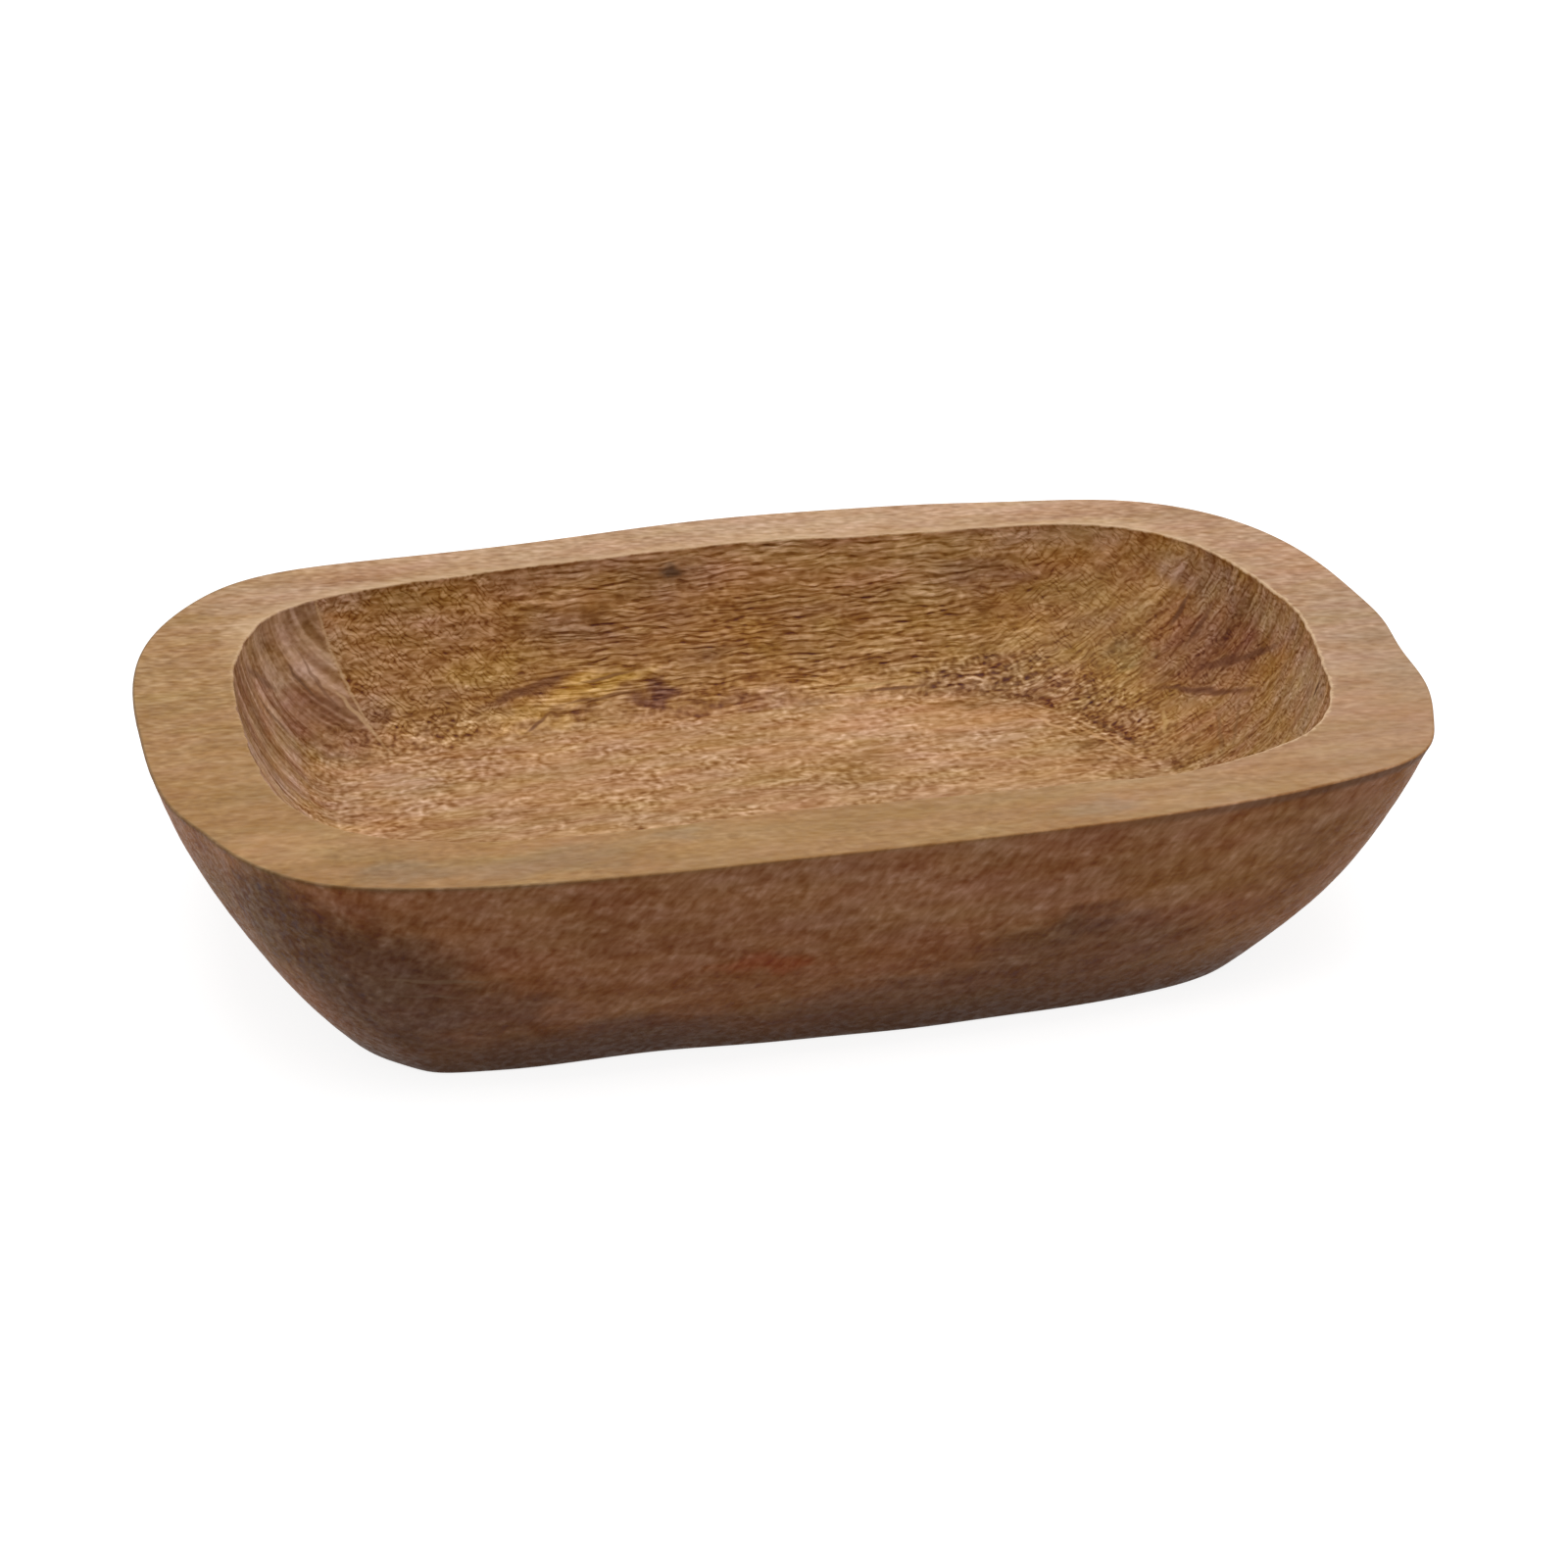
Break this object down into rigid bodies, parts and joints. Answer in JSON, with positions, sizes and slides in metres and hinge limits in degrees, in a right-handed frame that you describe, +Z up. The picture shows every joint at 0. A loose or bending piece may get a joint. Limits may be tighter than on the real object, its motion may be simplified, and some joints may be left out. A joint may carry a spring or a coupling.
{
  "type": "dough bowl",
  "caption": "Rectangular dough bowl carved from one block of wood, with a wide flat rim, sloping hollow and flat underside.",
  "frame": {"origin": "on the table under the middle of the bowl's outline", "axes": "+X along the bowl, +Y across it towards the back, +Z up out of the mouth"},
  "size_m": [0.305, 0.207, 0.0574],
  "materials": {
    "carved_wood": "oiled open-grained hardwood with fine tool marks, low sheen"
  },
  "bodies": {
    "root": {"bowl": "carved_wood"}
  },
  "joints": []
}
